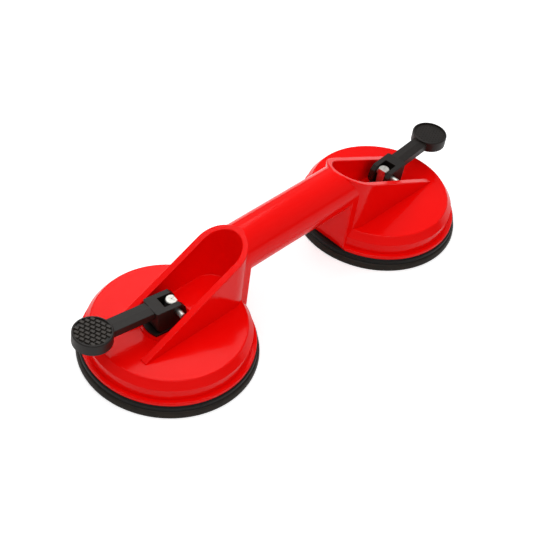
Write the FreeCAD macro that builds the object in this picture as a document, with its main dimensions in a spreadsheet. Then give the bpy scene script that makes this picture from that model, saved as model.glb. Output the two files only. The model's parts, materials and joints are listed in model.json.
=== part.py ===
"""Double suction lifter for floor tiles: one moulded body with two cup housings and a handle,
and under each housing a rubber pad that a cam lever pulls up to hold it on a tile.

The frame: origin on the floor between the cups, +X along the tool, +Z up. Millimetres.
The tool stands with both levers flat outwards, which is the gripping position.
"""
import FreeCAD, Part
import math
import os

import Sketcher
from FreeCAD import Vector

doc = FreeCAD.newDocument("tile_suction_lifter")

# ---------------------------------------------------------------- driving sizes

SIZES = (
    # layout
    ("cup_spacing", 202.0),
    ("front_yaw", 7.0),
    ("rear_yaw", 4.6),
    ("front_lever_rise", 2.0),
    # rubber pad
    ("pad_radius", 59.0),
    ("pad_rim_height", 8.8),
    ("pad_lip_height", 4.4),
    ("pad_lip_width", 7.0),
    ("pad_lip_step", 1.2),
    ("pad_upper_radius", 57.4),
    ("pad_edge_slope", 0.8),
    ("pad_rim_width", 9.0),
    ("pad_hub_radius", 30.0),
    ("pad_hub_height", 10.0),
    ("pad_membrane", 5.6),
    ("suction_height", 7.4),
    ("pad_seat_gap", 0.1),
    ("embed_gap", 0.25),
    # cup housing
    ("flange_radius", 56.5),
    ("flange_thickness", 2.4),
    ("wall_radius", 53.5),
    ("wall_height", 8.0),
    ("top_radius", 49.7),
    ("shoulder_height", 5.4),
    ("shell_wall", 3.5),
    ("roof_thickness", 3.5),
    ("top_edge_round", 1.2),
    ("flange_edge_round", 0.8),
    ("hollow_shoulder_drop", 0.8),
    ("boss_radius", 8.0),
    ("boss_gap", 0.5),
    ("bore_gap", 0.1),
    ("rib_count", 8),
    ("rib_thickness", 2.4),
    ("rib_gap", 0.8),
    # raised round seat for the cam washer
    ("seat_radius", 20.2),
    ("seat_height", 1.2),
    # U-shaped scoop and the column under the handle's end
    ("scoop_centre", 63.2),
    ("scoop_outer_radius", 18.6),
    ("scoop_end", 137.0),
    ("scoop_tip_height", 0.8),
    ("rim_lead", 0.6),
    ("pocket_mouth_radius", 14.1),
    ("pocket_mouth_apex", 47.6),
    ("pocket_floor_radius", 13.9),
    ("pocket_floor_apex", 52.4),
    ("pocket_floor_round", 1.0),
    ("rim_edge_round", 0.6),
    ("column_edge_round", 1.0),
    # handle
    ("handle_radius", 16.0),
    ("handle_height", 54.6),
    ("channel_radius", 11.6),
    ("channel_end", 43.0),
    ("channel_rib_thickness", 2.4),
    ("channel_rib_spacing", 21.6),
    ("channel_rib_inset", 3.0),
    # cam washer
    ("washer_radius", 18.2),
    ("washer_half_width", 8.6),
    ("washer_reach", 6.5),
    ("washer_thickness", 1.8),
    ("washer_gap", 0.05),
    # stud and the steel disc in the rubber
    ("stud_radius", 4.0),
    ("stud_flat", 2.65),
    ("stud_above_pin", 4.3),
    ("stud_head_radius", 7.0),
    ("stud_head_thickness", 2.0),
    ("stud_edge", 0.5),
    ("stud_cover", 2.6),
    ("insert_radius", 25.0),
    ("insert_thickness", 2.0),
    ("insert_hole_radius", 3.0),
    ("insert_hole_circle", 16.0),
    ("insert_hole_count", 6),
    # pivot pin
    ("pin_radius", 2.0),
    ("pin_length", 21.8),
    ("pin_shift", 2.1),
    ("pin_edge", 0.4),
    ("pin_gap", 0.05),
    # lever
    ("cam_gap", 0.05),
    ("cam_locked", 12.0),
    ("cam_released", 6.6),
    ("cam_flat_end", 11.0),
    ("cam_toe", 14.4),
    ("cam_toe_rise", 1.8),
    ("fork_width", 16.0),
    ("fork_length", 16.4),
    ("fork_top", 5.0),
    ("fork_end", 5.0),
    ("fork_nose", 3.1),
    ("fork_nose_drop", 3.0),
    ("fork_corner_round", 1.5),
    ("slot_width", 8.7),
    ("slot_length", 8.2),
    ("pin_recess_radius", 3.2),
    ("pin_recess_depth", 0.7),
    ("shank_width", 11.0),
    ("shank_thickness", 5.8),
    ("shank_crown", 0.6),
    ("thumb_distance", 57.0),
    ("thumb_radius", 12.7),
    ("thumb_thickness", 8.0),
    ("thumb_top", 6.4),
    ("thumb_rim", 1.3),
    ("thumb_recess", 1.0),
    ("thumb_edge_round", 0.8),
)


class Size:
    """A number together with the sheet expression that gives it."""

    def __init__(self, value, text):
        self.value = value
        self.text = text

    def _with(self, other, sign, value):
        return Size(value, f"({self.text} {sign} {as_size(other).text})")

    def __add__(self, other):
        return self._with(other, "+", self.value + as_size(other).value)

    def __sub__(self, other):
        return self._with(other, "-", self.value - as_size(other).value)

    def __mul__(self, other):
        return self._with(other, "*", self.value * as_size(other).value)

    def __truediv__(self, other):
        return self._with(other, "/", self.value / as_size(other).value)

    def __neg__(self):
        return Size(-self.value, f"(-{self.text})")


def as_size(item):
    return item if isinstance(item, Size) else Size(float(item), repr(float(item)))


def make_sheet():
    """Writes the driving sizes to the sheet and returns each one by its name."""
    sheet = doc.addObject("Spreadsheet::Sheet", "Sizes")
    sizes = {}
    for row, (name, number) in enumerate(SIZES, start=1):
        sheet.set(f"A{row}", name)
        sheet.set(f"B{row}", str(number))
        sheet.setAlias(f"B{row}", name)
        sizes[name] = Size(float(number), f"Sizes.{name}")
    doc.recompute()
    return sizes


S = make_sheet()

# ---------------------------------------------------------------- levels above the floor

FLANGE_BOTTOM = S["pad_rim_height"] + S["pad_seat_gap"]
FLANGE_TOP = FLANGE_BOTTOM + S["flange_thickness"]
WALL_TOP = FLANGE_TOP + S["wall_height"]
CUP_TOP = WALL_TOP + S["shoulder_height"]
ROOF_BOTTOM = CUP_TOP - S["roof_thickness"]
SEAT_TOP = CUP_TOP + S["seat_height"]
WASHER_BOTTOM = SEAT_TOP + S["washer_gap"]
WASHER_TOP = WASHER_BOTTOM + S["washer_thickness"]
PIN_HEIGHT = WASHER_TOP + S["cam_gap"] + S["cam_locked"]
HUB_TOP = S["suction_height"] + S["pad_hub_height"]
HEAD_BOTTOM = S["suction_height"] + S["stud_cover"]
HEAD_TOP = HEAD_BOTTOM + S["stud_head_thickness"]
STUD_TOP = PIN_HEIGHT + S["stud_above_pin"]
HANDLE_TOP = S["handle_height"] + S["handle_radius"]
CUP_X = S["cup_spacing"] / 2
COLUMN_FACE = CUP_X - S["wall_radius"]
RIM_START = S["scoop_centre"] - S["scoop_outer_radius"] - S["rim_lead"]

# ---------------------------------------------------------------- sketch helpers

ORIGIN = -1
X_AXIS = -1
Y_AXIS = -2
POINTS = ("edge", "start", "end", "centre")


def new_body(name):
    body = doc.addObject("PartDesign::Body", name)
    body.Label = name
    return body


def plane(body, role):
    return next(item for item in body.Origin.OriginFeatures if item.Role == role)


def new_sketch(body, name, role, along=0.0, up=0.0, out=0.0):
    """A sketch on one of the body's own planes, shifted in its plane and off it."""
    sketch = body.newObject("Sketcher::SketchObject", name)
    sketch.AttachmentSupport = [(plane(body, role), "")]
    sketch.MapMode = "FlatFace"
    for axis, shift in (("x", along), ("y", up), ("z", out)):
        sketch.setExpression(f"AttachmentOffset.Base.{axis}", as_size(shift).text)
    return sketch


def coded(where):
    """The sketcher's numbers for edges and for the named points on them."""
    return [POINTS.index(item) if isinstance(item, str) else item for item in where]


def fix(sketch, kind, *where, size):
    """Adds a dimension and ties it to the sheet."""
    index = sketch.addConstraint(Sketcher.Constraint(kind, *coded(where), as_size(size).value))
    sketch.setExpression(f"Constraints[{index}]", as_size(size).text)


def tie(sketch, kind, *where):
    sketch.addConstraint(Sketcher.Constraint(kind, *coded(where)))


def point(x, y):
    return Vector(as_size(x).value, as_size(y).value, 0)


def line(sketch, start, end):
    return sketch.addGeometry(Part.LineSegment(start, end), False)


def arc(sketch, centre, radius, start_angle, end_angle):
    circle = Part.Circle(centre, Vector(0, 0, 1), radius)
    return sketch.addGeometry(Part.ArcOfCircle(circle, start_angle, end_angle), False)


def fix_corner(sketch, edge, end, x, y):
    fix(sketch, "DistanceX", edge, end, size=x)
    fix(sketch, "DistanceY", edge, end, size=y)


def outline(sketch, corners):
    """A closed outline of straight edges through the corners."""
    points = [point(x, y) for x, y in corners]
    edges = [line(sketch, a, b) for a, b in zip(points, points[1:] + points[:1])]
    for edge, following in zip(edges, edges[1:] + edges[:1]):
        tie(sketch, "Coincident", edge, "end", following, "start")
    for edge, (x, y) in zip(edges, corners):
        fix_corner(sketch, edge, "start", x, y)


def domed_outline(sketch, corners):
    """As outline, but the closing edge is an arc about a centre on the vertical axis."""
    points = [point(x, y) for x, y in corners]
    edges = [line(sketch, a, b) for a, b in zip(points, points[1:])]
    for edge, following in zip(edges, edges[1:]):
        tie(sketch, "Coincident", edge, "end", following, "start")
    for edge, (x, y) in zip(edges, corners):
        fix_corner(sketch, edge, "start", x, y)
    fix_corner(sketch, edges[-1], "end", *corners[-1])
    edge_point, crown = points[0], points[-1]
    rise = crown.y - edge_point.y
    radius = (edge_point.x ** 2 + rise ** 2) / (2 * rise)
    centre = Vector(0, crown.y - radius, 0)
    edge_angle = math.atan2(edge_point.y - centre.y, edge_point.x)
    dome = arc(sketch, centre, radius, edge_angle, math.pi / 2)
    tie(sketch, "Coincident", dome, "start", edges[0], "start")
    tie(sketch, "Coincident", dome, "end", edges[-1], "end")
    tie(sketch, "PointOnObject", dome, "centre", Y_AXIS)


def circle(sketch, radius, x=0.0, y=0.0):
    edge = sketch.addGeometry(Part.Circle(point(x, y), Vector(0, 0, 1), as_size(radius).value), False)
    fix(sketch, "Radius", edge, size=radius)
    fix_corner(sketch, edge, "centre", x, y)


def rounded_slot(sketch, centre_x, radius, end_x):
    """A slot along +X with a round closed end and a square far end."""
    r = as_size(radius).value
    cx = as_size(centre_x).value
    ex = as_size(end_x).value
    upper = line(sketch, Vector(ex, r, 0), Vector(cx, r, 0))
    turn = arc(sketch, Vector(cx, 0, 0), r, math.pi / 2, 3 * math.pi / 2)
    lower = line(sketch, Vector(cx, -r, 0), Vector(ex, -r, 0))
    mouth = line(sketch, Vector(ex, -r, 0), Vector(ex, r, 0))
    tie(sketch, "Tangent", upper, "end", turn, "start")
    tie(sketch, "Tangent", turn, "end", lower, "start")
    tie(sketch, "Coincident", lower, "end", mouth, "start")
    tie(sketch, "Coincident", mouth, "end", upper, "start")
    tie(sketch, "Horizontal", upper)
    tie(sketch, "Horizontal", lower)
    tie(sketch, "Vertical", mouth)
    tie(sketch, "PointOnObject", turn, "centre", X_AXIS)
    fix(sketch, "DistanceX", turn, "centre", size=centre_x)
    fix(sketch, "Radius", turn, size=radius)
    fix(sketch, "DistanceX", mouth, "start", size=end_x)


def soft_block(sketch, start_x, end_x, half_width, corner):
    """A block along +X whose two corners at start_x are rounded."""
    low, high, half, r = (as_size(item).value for item in (start_x, end_x, half_width, corner))
    inner = half - r
    right = line(sketch, Vector(low + r, -half, 0), Vector(high, -half, 0))
    back = line(sketch, Vector(high, -half, 0), Vector(high, half, 0))
    left = line(sketch, Vector(high, half, 0), Vector(low + r, half, 0))
    left_turn = arc(sketch, Vector(low + r, inner, 0), r, math.pi / 2, math.pi)
    face = line(sketch, Vector(low, inner, 0), Vector(low, -inner, 0))
    right_turn = arc(sketch, Vector(low + r, -inner, 0), r, math.pi, 3 * math.pi / 2)
    tie(sketch, "Coincident", right, "end", back, "start")
    tie(sketch, "Coincident", back, "end", left, "start")
    tie(sketch, "Tangent", left, "end", left_turn, "start")
    tie(sketch, "Tangent", left_turn, "end", face, "start")
    tie(sketch, "Tangent", face, "end", right_turn, "start")
    tie(sketch, "Tangent", right_turn, "end", right, "start")
    tie(sketch, "Horizontal", right)
    tie(sketch, "Horizontal", left)
    tie(sketch, "Equal", left_turn, right_turn)
    fix(sketch, "Radius", left_turn, size=corner)
    fix_corner(sketch, back, "start", end_x, -as_size(half_width))
    fix_corner(sketch, back, "end", end_x, half_width)
    fix(sketch, "DistanceX", face, "start", size=start_x)


def arch(sketch, radius, foot):
    """A round-topped opening about the sketch's origin, with straight sides down to foot."""
    r = as_size(radius).value
    low = as_size(foot).value
    crown = arc(sketch, Vector(0, 0, 0), r, 0, math.pi)
    left = line(sketch, Vector(-r, 0, 0), Vector(-r, low, 0))
    sill = line(sketch, Vector(-r, low, 0), Vector(r, low, 0))
    right = line(sketch, Vector(r, low, 0), Vector(r, 0, 0))
    tie(sketch, "Tangent", crown, "end", left, "start")
    tie(sketch, "Tangent", right, "end", crown, "start")
    tie(sketch, "Coincident", left, "end", sill, "start")
    tie(sketch, "Coincident", sill, "end", right, "start")
    tie(sketch, "Vertical", left)
    tie(sketch, "Vertical", right)
    tie(sketch, "Horizontal", sill)
    tie(sketch, "Coincident", crown, "centre", ORIGIN, "start")
    fix(sketch, "Radius", crown, size=radius)
    fix(sketch, "DistanceY", sill, "start", size=foot)


def flatted_circle(sketch, radius, half_width):
    """A circle about the sketch's origin cut by two flats along X."""
    r = as_size(radius).value
    half = as_size(half_width).value
    turn = math.asin(half / r)
    reach = r * math.cos(turn)
    right = arc(sketch, Vector(0, 0, 0), r, -turn, turn)
    upper = line(sketch, Vector(reach, half, 0), Vector(-reach, half, 0))
    left = arc(sketch, Vector(0, 0, 0), r, math.pi - turn, math.pi + turn)
    lower = line(sketch, Vector(-reach, -half, 0), Vector(reach, -half, 0))
    edges = (right, upper, left, lower)
    for edge, following in zip(edges, edges[1:] + edges[:1]):
        tie(sketch, "Coincident", edge, "end", following, "start")
    for edge in (right, left):
        tie(sketch, "Coincident", edge, "centre", ORIGIN, "start")
    for edge in (upper, lower):
        tie(sketch, "Horizontal", edge)
    fix(sketch, "Radius", right, size=radius)
    tie(sketch, "Equal", right, left)
    fix(sketch, "DistanceY", upper, "start", size=half_width)
    fix(sketch, "DistanceY", lower, "start", size=-as_size(half_width))


def keyed_circle(sketch, radius, flat):
    """A circle about the sketch's origin with one flat across it on the -X side."""
    r = as_size(radius).value
    f = as_size(flat).value
    turn = math.acos(-f / r)
    rise = r * math.sin(turn)
    round_edge = arc(sketch, Vector(0, 0, 0), r, -turn, turn)
    flat_edge = line(sketch, Vector(-f, rise, 0), Vector(-f, -rise, 0))
    tie(sketch, "Coincident", round_edge, "end", flat_edge, "start")
    tie(sketch, "Coincident", flat_edge, "end", round_edge, "start")
    tie(sketch, "Coincident", round_edge, "centre", ORIGIN, "start")
    tie(sketch, "Vertical", flat_edge)
    fix(sketch, "Radius", round_edge, size=radius)
    fix(sketch, "DistanceX", flat_edge, "start", size=-as_size(flat))


# ---------------------------------------------------------------- feature helpers


def pad(body, name, sketch, length, midplane=False, reverse=False):
    feature = body.newObject("PartDesign::Pad", name)
    feature.Profile = sketch
    feature.Midplane = midplane
    feature.Reversed = reverse
    feature.setExpression("Length", as_size(length).text)
    return settled(feature)


def pocket(body, name, sketch, length, midplane=False, reverse=False):
    feature = body.newObject("PartDesign::Pocket", name)
    feature.Profile = sketch
    feature.Midplane = midplane
    feature.Reversed = reverse
    feature.setExpression("Length", as_size(length).text)
    return settled(feature, cuts=True)


def turned(body, name, sketch, kind="PartDesign::Revolution"):
    """The sketch turned right round its own vertical axis."""
    feature = body.newObject(kind, name)
    feature.Profile = sketch
    feature.ReferenceAxis = (sketch, ["V_Axis"])
    feature.Angle = 360
    return settled(feature, cuts=kind.endswith("Groove"))


def round_edges(body, name, base, chosen, radius):
    """Rounds the edges of the base feature that chosen() picks."""
    names = [f"Edge{i}" for i, edge in enumerate(base.Shape.Edges, start=1) if chosen(edge)]
    if not names:
        raise RuntimeError(f"{name}: no edge to round")
    feature = body.newObject("PartDesign::Fillet", name)
    feature.Base = (base, names)
    feature.setExpression("Radius", as_size(radius).text)
    return settled(feature)


def bevel_edges(body, name, base, chosen, width):
    names = [f"Edge{i}" for i, edge in enumerate(base.Shape.Edges, start=1) if chosen(edge)]
    if not names:
        raise RuntimeError(f"{name}: no edge to bevel")
    feature = body.newObject("PartDesign::Chamfer", name)
    feature.Base = (base, names)
    feature.setExpression("Size", as_size(width).text)
    return settled(feature)


def settled(feature, cuts=False):
    """Recomputes the feature and makes sure that it did what it is for."""
    previous = feature.BaseFeature.Shape.Volume if getattr(feature, "BaseFeature", None) else None
    doc.recompute()
    if feature.Shape.isNull() or not feature.Shape.isValid():
        raise RuntimeError(f"{feature.Name} has no valid shape")
    if cuts and previous is not None and feature.Shape.Volume > previous - 1e-6:
        raise RuntimeError(f"{feature.Name} cuts nothing")
    return feature


def near(a, b, slack=1e-3):
    return abs(a - as_size(b).value) < slack


def circle_at(edge, radius, height):
    """True for a circular edge about a vertical axis with this radius at this height."""
    curve = edge.Curve
    return isinstance(curve, Part.Circle) and near(curve.Radius, radius) and near(curve.Center.z, height)


# ---------------------------------------------------------------- one-piece body moulding


def cup_shell(body):
    """The round cup: flange, wall, sloping shoulder and flat top."""
    profile = new_sketch(body, "cup_profile", "XZ_Plane", along=CUP_X)
    outline(profile, (
        (0, FLANGE_BOTTOM),
        (S["flange_radius"], FLANGE_BOTTOM),
        (S["flange_radius"], FLANGE_TOP),
        (S["wall_radius"], FLANGE_TOP),
        (S["wall_radius"], WALL_TOP),
        (S["top_radius"], CUP_TOP),
        (0, CUP_TOP),
    ))
    cup = turned(body, "cup", profile)
    soft_top = round_edges(
        body, "cup_top_edge", cup, lambda e: circle_at(e, S["top_radius"], CUP_TOP), S["top_edge_round"]
    )
    return round_edges(
        body, "flange_edge", soft_top, lambda e: circle_at(e, S["flange_radius"], FLANGE_TOP),
        S["flange_edge_round"],
    )


def scoop_and_column(body):
    """The U-shaped wall round the lever and the column that carries the handle's end."""
    wall = new_sketch(body, "scoop_outline", "XY_Plane", out=ROOF_BOTTOM)
    rounded_slot(wall, S["scoop_centre"], S["scoop_outer_radius"], S["scoop_end"])
    pad(body, "scoop_block", wall, HANDLE_TOP - ROOF_BOTTOM)

    # under the handle the column's flat face stands further out than the scoop's round end
    recess = new_sketch(body, "under_handle_outline", "XZ_Plane")
    outline(recess, (
        (0, 0),
        (COLUMN_FACE, 0),
        (COLUMN_FACE, S["handle_height"]),
        (0, S["handle_height"]),
    ))
    pocket(body, "under_handle", recess, S["scoop_outer_radius"] * 2, midplane=True)

    column = new_sketch(body, "column_outline", "XY_Plane", out=FLANGE_BOTTOM)
    soft_block(column, COLUMN_FACE, S["scoop_centre"], S["handle_radius"], S["column_edge_round"])
    pad(body, "column", column, S["handle_height"] - FLANGE_BOTTOM)


def handle_bar(body):
    """The round grip from the middle of the tool into the scoop's closed end."""
    grip = new_sketch(body, "grip_outline", "YZ_Plane", up=S["handle_height"])
    circle(grip, S["handle_radius"])
    pad(body, "grip", grip, S["scoop_centre"])


def on_rim(edge):
    """True for the edges of the scoop's sloping rim, inside and outside."""
    foot = CUP_TOP + S["scoop_tip_height"]
    fall = (HANDLE_TOP - foot).value / (S["scoop_end"] - RIM_START).value
    middle = edge.valueAt((edge.FirstParameter + edge.LastParameter) / 2)
    samples = [vertex.Point for vertex in edge.Vertexes] + [middle]
    off_slope = [p.z - HANDLE_TOP.value + fall * (p.x - RIM_START.value) for p in samples]
    return max(map(abs, off_slope)) < 1e-3 and edge.BoundBox.XLength > S["rim_edge_round"].value


def sloping_rim(body):
    """Cuts the scoop's wall to a rim that falls from the handle to the cup's outer side."""
    slope = new_sketch(body, "rim_slope", "XZ_Plane")
    clear = HANDLE_TOP * 2
    outline(slope, (
        (RIM_START, HANDLE_TOP),
        (S["scoop_end"], CUP_TOP + S["scoop_tip_height"]),
        (S["scoop_end"] * 2, CUP_TOP + S["scoop_tip_height"]),
        (S["scoop_end"] * 2, clear),
        (RIM_START, clear),
    ))
    cut = pocket(body, "rim_cut", slope, S["pad_radius"] * 2, midplane=True)
    round_edges(body, "rim_edge", cut, on_rim, S["rim_edge_round"])


def scoop_pocket(body):
    """The pocket that the lever works in, with a leaning end wall."""
    floor = new_sketch(body, "pocket_floor", "XY_Plane", out=CUP_TOP)
    rounded_slot(
        floor, S["pocket_floor_apex"] + S["pocket_floor_radius"], S["pocket_floor_radius"], S["scoop_end"] * 2
    )
    mouth = new_sketch(body, "pocket_mouth", "XY_Plane", out=HANDLE_TOP)
    rounded_slot(
        mouth, S["pocket_mouth_apex"] + S["pocket_mouth_radius"], S["pocket_mouth_radius"], S["scoop_end"] * 2
    )
    loft = body.newObject("PartDesign::SubtractiveLoft", "scoop_pocket")
    loft.Profile = floor
    loft.Sections = [mouth]
    loft.Ruled = True
    settled(loft, cuts=True)
    round_edges(body, "pocket_floor_edge", loft, on_pocket_floor, S["pocket_floor_round"])


def on_pocket_floor(edge):
    """True for the edges where the scoop's inner wall meets the cup's flat top."""
    box = edge.BoundBox
    level = near(box.ZMin, CUP_TOP) and near(box.ZMax, CUP_TOP)
    inside = max(abs(box.YMin), abs(box.YMax)) < S["pocket_floor_radius"].value + 0.2
    long_or_round = box.XLength > S["pocket_floor_radius"].value / 2
    return level and inside and long_or_round


def washer_seat(body):
    """The low round pad that the cam washer lies on, between the scoop's legs."""
    seat = new_sketch(body, "seat_outline", "XY_Plane", along=CUP_X, out=CUP_TOP)
    flatted_circle(seat, S["seat_radius"], (S["pocket_floor_radius"] + S["scoop_outer_radius"]) / 2)
    return pad(body, "washer_seat", seat, S["seat_height"])


def cup_underside(body):
    """The hollow over the rubber pad, with the stud's boss and radial ribs."""
    inner = S["wall_radius"] - S["shell_wall"]
    boss_bottom = HUB_TOP + S["boss_gap"]
    hollow = new_sketch(body, "hollow_profile", "XZ_Plane", along=CUP_X)
    outline(hollow, (
        (0, 0),
        (inner, 0),
        (inner, WALL_TOP - S["hollow_shoulder_drop"]),
        (S["top_radius"] - S["shell_wall"], ROOF_BOTTOM),
        (S["boss_radius"], ROOF_BOTTOM),
        (S["boss_radius"], boss_bottom),
        (0, boss_bottom),
    ))
    turned(body, "cup_hollow", hollow, "PartDesign::Groove")

    into_wall = S["shell_wall"] / 2
    rib = new_sketch(body, "rib_profile", "XZ_Plane", along=CUP_X)
    outline(rib, (
        (S["boss_radius"] - into_wall, boss_bottom),
        (S["pad_hub_radius"] + S["rib_gap"], boss_bottom),
        (S["pad_hub_radius"] + S["rib_gap"], FLANGE_TOP + S["rib_gap"]),
        (inner + into_wall, FLANGE_TOP + S["rib_gap"]),
        (inner + into_wall, WALL_TOP - into_wall),
        (S["top_radius"] - S["shell_wall"], ROOF_BOTTOM + into_wall),
        (S["boss_radius"] - into_wall, ROOF_BOTTOM + into_wall),
    ))
    first = pad(body, "rib", rib, S["rib_thickness"], midplane=True)

    bore = new_sketch(body, "stud_bore_outline", "XY_Plane", along=CUP_X)
    circle(bore, S["stud_radius"] + S["bore_gap"])
    ribs = body.newObject("PartDesign::PolarPattern", "ribs")
    ribs.Originals = [first]
    ribs.Axis = (bore, ["N_Axis"])
    ribs.Angle = 360
    ribs.setExpression("Occurrences", S["rib_count"].text)
    body.Tip = ribs
    settled(ribs)
    return pocket(body, "stud_bore", bore, HANDLE_TOP, reverse=True)


def handle_channel(body):
    """The grip is cored out from below, with cross ribs, so that its wall is even."""
    channel = new_sketch(body, "channel_profile", "YZ_Plane", up=S["handle_height"])
    arch(channel, S["channel_radius"], -S["handle_radius"])
    pocket(body, "channel", channel, S["channel_end"], reverse=True)

    into_wall = (S["handle_radius"] - S["channel_radius"]) / 4
    cross = new_sketch(
        body, "cross_rib_profile", "YZ_Plane", up=S["handle_height"], out=-S["channel_rib_thickness"] / 2
    )
    wall_foot = math.sqrt(S["handle_radius"].value ** 2 - S["channel_radius"].value ** 2)
    foot = S["channel_rib_inset"] - wall_foot
    arch(cross, S["channel_radius"] + into_wall, foot)
    first = pad(body, "cross_rib", cross, S["channel_rib_thickness"])
    ribs = body.newObject("PartDesign::LinearPattern", "cross_ribs")
    ribs.Originals = [first]
    ribs.Direction = (cross, ["N_Axis"])
    ribs.Occurrences = 2
    ribs.setExpression("Length", S["channel_rib_spacing"].text)
    body.Tip = ribs
    return settled(ribs)


def body_moulding():
    """Half of the moulding, then its mirror image across the middle of the handle."""
    body = new_body("body_moulding")
    cup_shell(body)
    scoop_and_column(body)
    handle_bar(body)
    scoop_pocket(body)
    sloping_rim(body)
    washer_seat(body)
    cup_underside(body)
    handle_channel(body)
    whole = body.newObject("PartDesign::Mirrored", "both_halves")
    whole.TransformMode = "Whole shape"
    whole.MirrorPlane = (plane(body, "YZ_Plane"), [""])
    body.Tip = whole
    settled(whole)
    return body


# ---------------------------------------------------------------- pieces under and on each cup


def rubber_pad(name):
    """The suction pad as it is held in the gripping position: rim down, hub pulled up."""
    body = new_body(name)
    profile = new_sketch(body, f"{name}_profile", "XZ_Plane")
    lip_inner = S["pad_radius"] - S["pad_lip_width"]
    rim_inner = S["flange_radius"] - S["pad_rim_width"]
    gap = S["embed_gap"]
    domed_outline(profile, (
        (lip_inner, 0),
        (S["pad_radius"], 0),
        (S["pad_radius"] - S["pad_edge_slope"], S["pad_lip_height"]),
        (S["pad_upper_radius"], S["pad_lip_height"] + S["pad_lip_step"] / 2),
        (S["pad_upper_radius"], S["pad_rim_height"] - S["pad_edge_slope"]),
        (S["flange_radius"], S["pad_rim_height"]),
        (rim_inner, S["pad_rim_height"]),
        (S["pad_hub_radius"], S["suction_height"] / 2 + S["pad_membrane"]),
        (S["pad_hub_radius"], HUB_TOP),
        (S["stud_radius"] + gap, HUB_TOP),
        (S["stud_radius"] + gap, HEAD_TOP + S["insert_thickness"] + gap),
        (S["insert_radius"] + gap, HEAD_TOP + S["insert_thickness"] + gap),
        (S["insert_radius"] + gap, HEAD_TOP - gap),
        (S["stud_head_radius"] + gap, HEAD_TOP - gap),
        (S["stud_head_radius"] + gap, HEAD_BOTTOM - gap),
        (0, HEAD_BOTTOM - gap),
        (0, S["suction_height"]),
    ))
    turned(body, f"{name}_rubber", profile)
    return body


def insert_disc(name):
    """The perforated steel disc in the rubber that spreads the stud's pull."""
    body = new_body(name)
    blank = new_sketch(body, f"{name}_outline", "XY_Plane", out=HEAD_TOP)
    circle(blank, S["insert_radius"])
    circle(blank, S["stud_radius"])
    pad(body, f"{name}_plate", blank, S["insert_thickness"])
    hole = new_sketch(body, f"{name}_hole_outline", "XY_Plane", out=HEAD_TOP)
    circle(hole, S["insert_hole_radius"], x=S["insert_hole_circle"])
    first = pocket(body, f"{name}_hole", hole, S["insert_thickness"], reverse=True)
    holes = body.newObject("PartDesign::PolarPattern", f"{name}_holes")
    holes.Originals = [first]
    holes.Axis = (hole, ["N_Axis"])
    holes.Angle = 360
    holes.setExpression("Occurrences", S["insert_hole_count"].text)
    body.Tip = holes
    settled(holes)
    return body


def stud(name):
    """The headed steel stud, with a key flat on the handle's side and a cross bore."""
    body = new_body(name)
    profile = new_sketch(body, f"{name}_profile", "XZ_Plane")
    outline(profile, (
        (0, HEAD_BOTTOM),
        (S["stud_head_radius"], HEAD_BOTTOM),
        (S["stud_head_radius"], HEAD_TOP),
        (S["stud_radius"], HEAD_TOP),
        (S["stud_radius"], STUD_TOP - S["stud_edge"]),
        (S["stud_radius"] - S["stud_edge"], STUD_TOP),
        (0, STUD_TOP),
    ))
    turned(body, f"{name}_bar", profile)

    flat = new_sketch(body, f"{name}_flat_outline", "XZ_Plane")
    outline(flat, (
        (-S["stud_radius"] * 2, SEAT_TOP),
        (-S["stud_flat"], SEAT_TOP),
        (-S["stud_flat"], STUD_TOP * 2),
        (-S["stud_radius"] * 2, STUD_TOP * 2),
    ))
    pocket(body, f"{name}_flat", flat, S["stud_radius"] * 4, midplane=True)

    bore = new_sketch(body, f"{name}_bore_outline", "XZ_Plane", up=PIN_HEIGHT)
    circle(bore, S["pin_radius"])
    pocket(body, f"{name}_bore", bore, S["stud_radius"] * 4, midplane=True)
    return body


def cam_washer(name):
    """The plastic slip washer under the cam, keyed to the stud's flat."""
    body = new_body(name)
    blank = new_sketch(body, f"{name}_outline", "XY_Plane", out=WASHER_BOTTOM)
    flatted_circle(blank, S["washer_radius"], S["washer_half_width"])
    pad(body, f"{name}_plate", blank, S["washer_thickness"])
    spare = new_sketch(body, f"{name}_spare_outline", "XY_Plane", out=WASHER_BOTTOM)
    outline(spare, (
        (-S["washer_radius"] * 2, -S["washer_radius"]),
        (-S["washer_reach"], -S["washer_radius"]),
        (-S["washer_reach"], S["washer_radius"]),
        (-S["washer_radius"] * 2, S["washer_radius"]),
    ))
    pocket(body, f"{name}_short_side", spare, S["washer_thickness"], reverse=True)
    key = new_sketch(body, f"{name}_key_outline", "XY_Plane", out=WASHER_BOTTOM)
    keyed_circle(key, S["stud_radius"] + S["bore_gap"], S["stud_flat"] + S["bore_gap"])
    pocket(body, f"{name}_key", key, S["washer_thickness"], reverse=True)
    return body


def pivot_pin(name, shift):
    """The steel pin pressed through the stud, on which the lever turns."""
    body = new_body(name)
    section = new_sketch(body, f"{name}_section", "XZ_Plane", up=PIN_HEIGHT, out=shift)
    circle(section, S["pin_radius"])
    bar = pad(body, f"{name}_bar", section, S["pin_length"], midplane=True)
    bevel_edges(body, f"{name}_ends", bar, lambda e: isinstance(e.Curve, Part.Circle), S["pin_edge"])
    return body


# ---------------------------------------------------------------- lever

CAM_STEP = (S["cam_locked"] - S["cam_released"]) * (2 / math.pi)


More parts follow.
